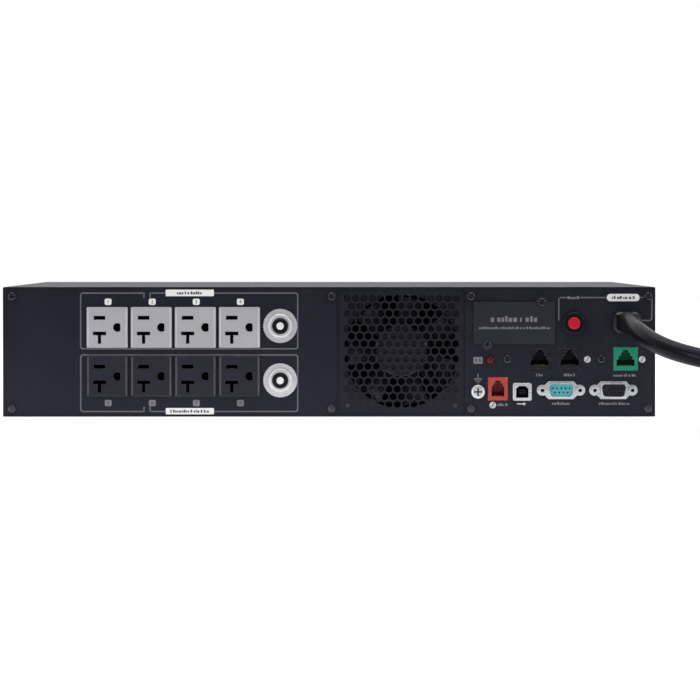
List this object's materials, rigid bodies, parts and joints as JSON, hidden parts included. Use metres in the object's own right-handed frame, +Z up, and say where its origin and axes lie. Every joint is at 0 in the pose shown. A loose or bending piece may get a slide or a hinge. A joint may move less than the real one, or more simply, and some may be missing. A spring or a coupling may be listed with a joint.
{
  "type": "rackmount ups",
  "caption": "Rack-mounted uninterruptible power supply with rear receptacles, signal ports, cooling fan, captive mains lead and a battery drawer behind the front cover.",
  "frame": {"origin": "under the middle of the body, on the surface the unit rests on; the free mains lead is left out of the middle", "axes": "+Z up, +Y out of the front bezel, -Y out of the rear connector face, +X to the right seen from behind"},
  "size_m": [0.7168, 0.616, 0.086],
  "materials": {
    "black_steel": "matte fine powder coat, black",
    "cover_plate": "satin black paint",
    "bare_steel": "zinc plated sheet",
    "black_screw": "black oxide, glossy",
    "light_outlet": "light grey moulded plastic",
    "dark_outlet": "charcoal moulded plastic",
    "contact_brass": "bright brass",
    "breaker_black": "black phenolic",
    "bright_nut": "bright nickel plate",
    "white_button": "white plastic",
    "red_button": "red plastic",
    "jack_black": "black moulded plastic",
    "jack_green": "green plastic",
    "jack_red": "red plastic",
    "teal_plastic": "teal moulded plastic",
    "nickel_shell": "nickel plated steel",
    "usb_black": "black plastic",
    "led_red": "red tinted lens, unlit",
    "fan_plastic": "black glass-filled plastic",
    "board_green": "green solder mask",
    "core_steel": "varnished lamination steel",
    "sink_aluminium": "extruded aluminium",
    "sleeve_plastic": "shrink sleeve",
    "battery_case": "dark grey moulded case",
    "bezel_plastic": "fine textured black plastic",
    "display_glass": "black glossy window",
    "button_grey": "soft grey plastic",
    "cord_rubber": "black jacket, semi gloss",
    "blade_metal": "plated brass"
  },
  "bodies": {
    "chassis": {"breaker_bodies": "breaker_black", "breaker_nuts": "bright_nut", "capacitors": "sleeve_plastic", "chassis_base": "black_steel", "comms_board": "board_green", "contact_insert": "jack_black", "cord_gland": "cord_rubber", "cover_screws": "black_screw", "display_module": "display_glass", "dsub_shells": "nickel_shell", "ear_screws": "black_screw", "expansion_cover": "cover_plate", "fan_frame": "fan_plastic", "fan_screws": "black_screw", "front_bezel": "bezel_plastic", "ground_screw": "nickel_shell", "heatsinks": "sink_aluminium", "input_breaker": "breaker_black", "io_screws": "black_screw", "jackscrews": "nickel_shell", "main_board": "board_green", "outlet_contacts": "contact_brass", "outlet_lower_1": "dark_outlet", "outlet_lower_2": "dark_outlet", "outlet_lower_3": "dark_outlet", "outlet_lower_4": "dark_outlet", "outlet_upper_1": "light_outlet", "outlet_upper_2": "light_outlet", "outlet_upper_3": "light_outlet", "outlet_upper_4": "light_outlet", "panel_screws": "black_screw", "plug_blades": "blade_metal", "plug_body": "cord_rubber", "power_cord": "cord_rubber", "power_cord_coil": "cord_rubber", "rack_ears": "black_steel", "rear_fan_wall": "black_steel", "rear_io_panel": "black_steel", "rear_outlet_panel": "black_steel", "sensor_jack": "jack_green", "serial_insert": "teal_plastic", "shutdown_jack": "jack_red", "status_led": "led_red", "strain_relief": "cord_rubber", "surge_jack_in": "jack_black", "surge_jack_out": "jack_black", "top_cover": "black_steel", "transformer": "core_steel", "usb_insert": "usb_black", "usb_shell": "nickel_shell"},
    "fan_rotor": {"fan_rotor": "fan_plastic"},
    "breaker_button_upper": {"breaker_button_upper": "white_button"},
    "breaker_button_lower": {"breaker_button_lower": "white_button"},
    "input_breaker_button": {"input_breaker_button": "red_button"},
    "power_button": {"power_button": "button_grey"},
    "scroll_button": {"scroll_button": "button_grey"},
    "select_button": {"select_button": "button_grey"},
    "battery_drawer": {"battery_tray": "bare_steel", "batteries": "battery_case"},
    "battery_cover": {"battery_cover": "bezel_plastic"}
  },
  "joints": [
    {"name": "fan_spin", "type": "hinge", "parent": "chassis", "child": "fan_rotor", "pos_m": [0.048, -0.2371, 0.0433], "axis": [0, -1, 0], "continuous": true},
    {"name": "upper_breaker_pop", "type": "slide", "parent": "chassis", "child": "breaker_button_upper", "axis": [0, -1, 0], "range_m": [0, 0.004]},
    {"name": "lower_breaker_pop", "type": "slide", "parent": "chassis", "child": "breaker_button_lower", "axis": [0, -1, 0], "range_m": [0, 0.004]},
    {"name": "input_breaker_pop", "type": "slide", "parent": "chassis", "child": "input_breaker_button", "axis": [0, -1, 0], "range_m": [0, 0.004]},
    {"name": "power_press", "type": "slide", "parent": "chassis", "child": "power_button", "axis": [0, -1, 0], "range_m": [0, 0.0015], "stiffness_N_per_m": 600, "springref_m": -0.001},
    {"name": "scroll_press", "type": "slide", "parent": "chassis", "child": "scroll_button", "axis": [0, -1, 0], "range_m": [0, 0.001], "stiffness_N_per_m": 500, "springref_m": -0.001},
    {"name": "select_press", "type": "slide", "parent": "chassis", "child": "select_button", "axis": [0, -1, 0], "range_m": [0, 0.001], "stiffness_N_per_m": 500, "springref_m": -0.001},
    {"name": "battery_drawer_slide", "type": "slide", "parent": "chassis", "child": "battery_drawer", "axis": [0, 1, 0], "range_m": [0, 0.24]},
    {"name": "battery_cover_pull", "type": "slide", "parent": "chassis", "child": "battery_cover", "axis": [0, 1, 0], "range_m": [0, 0.28]}
  ],
  "couplings": [
    {"joint": "battery_cover_pull", "follows": "battery_drawer_slide", "ratio": 1.15}
  ]
}
